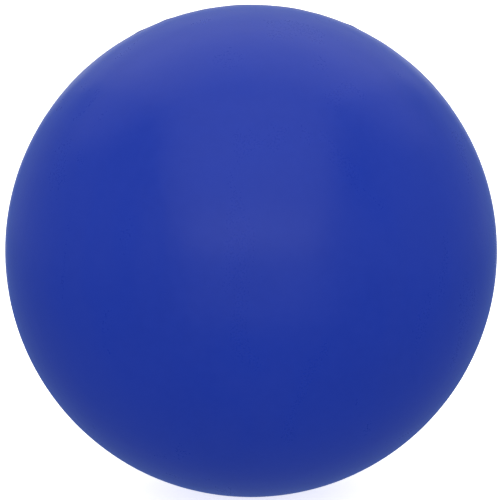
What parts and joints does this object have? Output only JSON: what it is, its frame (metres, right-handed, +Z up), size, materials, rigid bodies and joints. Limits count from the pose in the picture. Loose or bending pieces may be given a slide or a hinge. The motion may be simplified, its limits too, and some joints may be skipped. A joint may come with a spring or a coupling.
{
  "type": "stress ball",
  "caption": "Round foam squeeze ball: coloured coat films over a foam core, a low parting-line bead and a small flat underneath to rest on.",
  "frame": {"origin": "middle of the flat underside of gate_patch, which is the lowest point of the ball and the middle of its bounding box", "axes": "+Z up out of the flat through the middle of the ball; the parting plane is the XZ plane, with front_skin on the -Y side, which the picture shows"},
  "size_m": [0.063, 0.063, 0.0627],
  "materials": {
    "coat": "royal blue flexible coat film, satin matt, one per mould half",
    "bead_lacquer": "the same blue, a little darker and duller along the trimmed parting line",
    "patch_lacquer": "brushed-on touch-up lacquer over the sliced gate, dull",
    "foam": "cream open-cell polyurethane foam, fully matt"
  },
  "bodies": {
    "core": {"foam_core": "foam", "seam_bead": "bead_lacquer", "gate_patch": "patch_lacquer"},
    "front_side": {"front_skin": "coat"},
    "rear_side": {"rear_skin": "coat"}
  },
  "joints": [
    {"name": "squeeze_front", "type": "slide", "parent": "core", "child": "front_side", "axis": [0, 1, 0], "range_m": [0, 0.011], "stiffness_N_per_m": 2500, "deforming": ["front_skin", "foam_core"]},
    {"name": "squeeze_rear", "type": "slide", "parent": "core", "child": "rear_side", "axis": [0, -1, 0], "range_m": [0, 0.011], "stiffness_N_per_m": 2500, "deforming": ["rear_skin"]}
  ],
  "couplings": [
    {"joint": "squeeze_rear", "follows": "squeeze_front", "ratio": 1}
  ]
}
